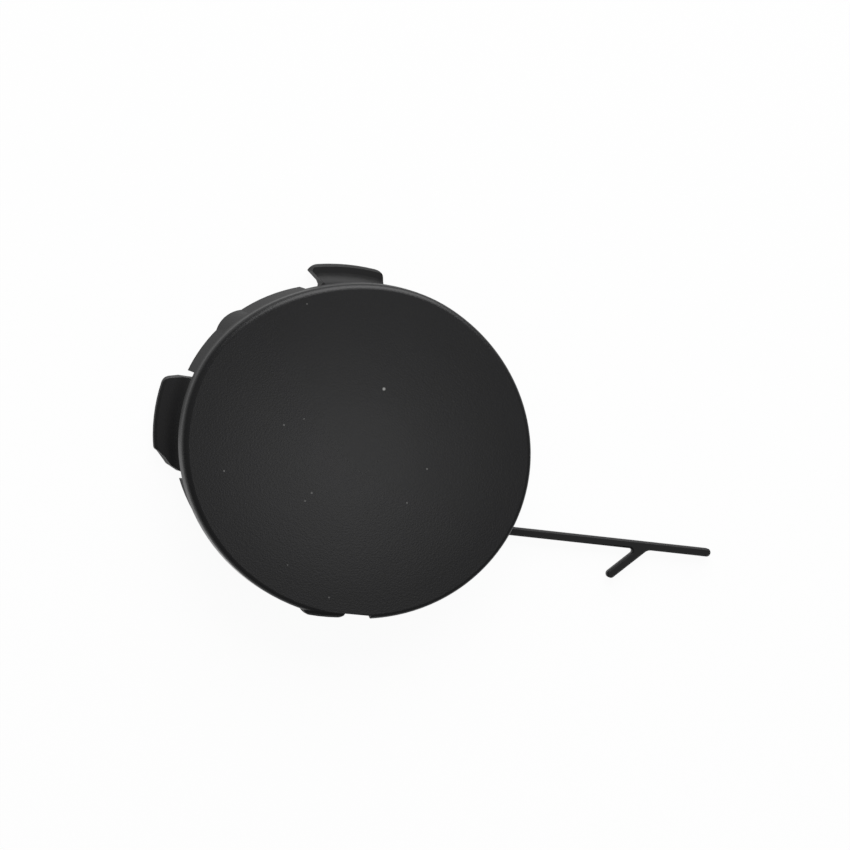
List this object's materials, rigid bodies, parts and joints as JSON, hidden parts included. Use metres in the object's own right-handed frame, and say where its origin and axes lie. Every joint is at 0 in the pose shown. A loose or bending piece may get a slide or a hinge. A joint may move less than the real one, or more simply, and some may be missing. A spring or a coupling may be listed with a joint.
{
  "type": "bumper towing eye cover",
  "caption": "Domed round snap-in cover for the towing eye hole in a bumper, with a slanted skirt, coved snap hooks and a barbed tether, moulded in one piece of black plastic.",
  "frame": {"origin": "where the insertion axis of the skirt meets the plane of its rear edge, on which the cover lies face up", "axes": "+Z out of the front face, square to it; +X towards the tether; +Y towards the top hook"},
  "size_m": [0.132, 0.0823, 0.0158],
  "materials": {
    "black_plastic": "fine-grained matte, a little dust"
  },
  "bodies": {
    "root": {"tow_eye_cover": "black_plastic"}
  },
  "joints": []
}
